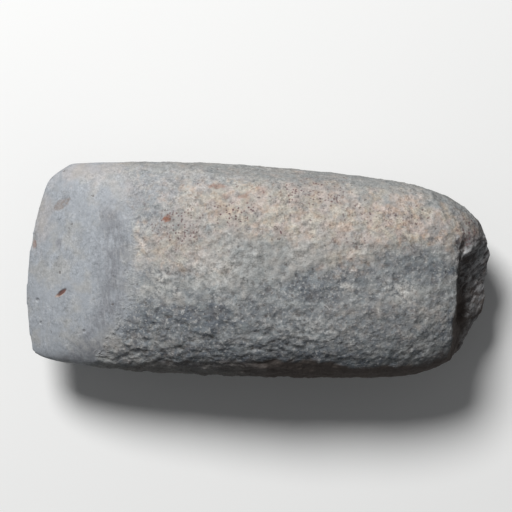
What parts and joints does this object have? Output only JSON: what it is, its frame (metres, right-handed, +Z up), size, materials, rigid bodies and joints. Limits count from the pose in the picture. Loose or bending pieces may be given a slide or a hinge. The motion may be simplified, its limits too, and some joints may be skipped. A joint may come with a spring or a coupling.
{
  "type": "polished stone axe head",
  "caption": "Ground and pecked stone axe head with a smooth curved cutting edge and a battered, flaked butt, lying on a broad face.",
  "frame": {"origin": "on the surface the stone rests on, under the centre of its bounding box", "axes": "+X runs along the stone from the cutting edge to the butt, +Y across its width to the faceted narrow side, +Z up out of the upper broad face"},
  "size_m": [0.1352, 0.063, 0.042],
  "materials": {
    "greenstone": "pecked matt body, ground satin blade"
  },
  "bodies": {
    "root": {"axe_head": "greenstone"}
  },
  "joints": []
}
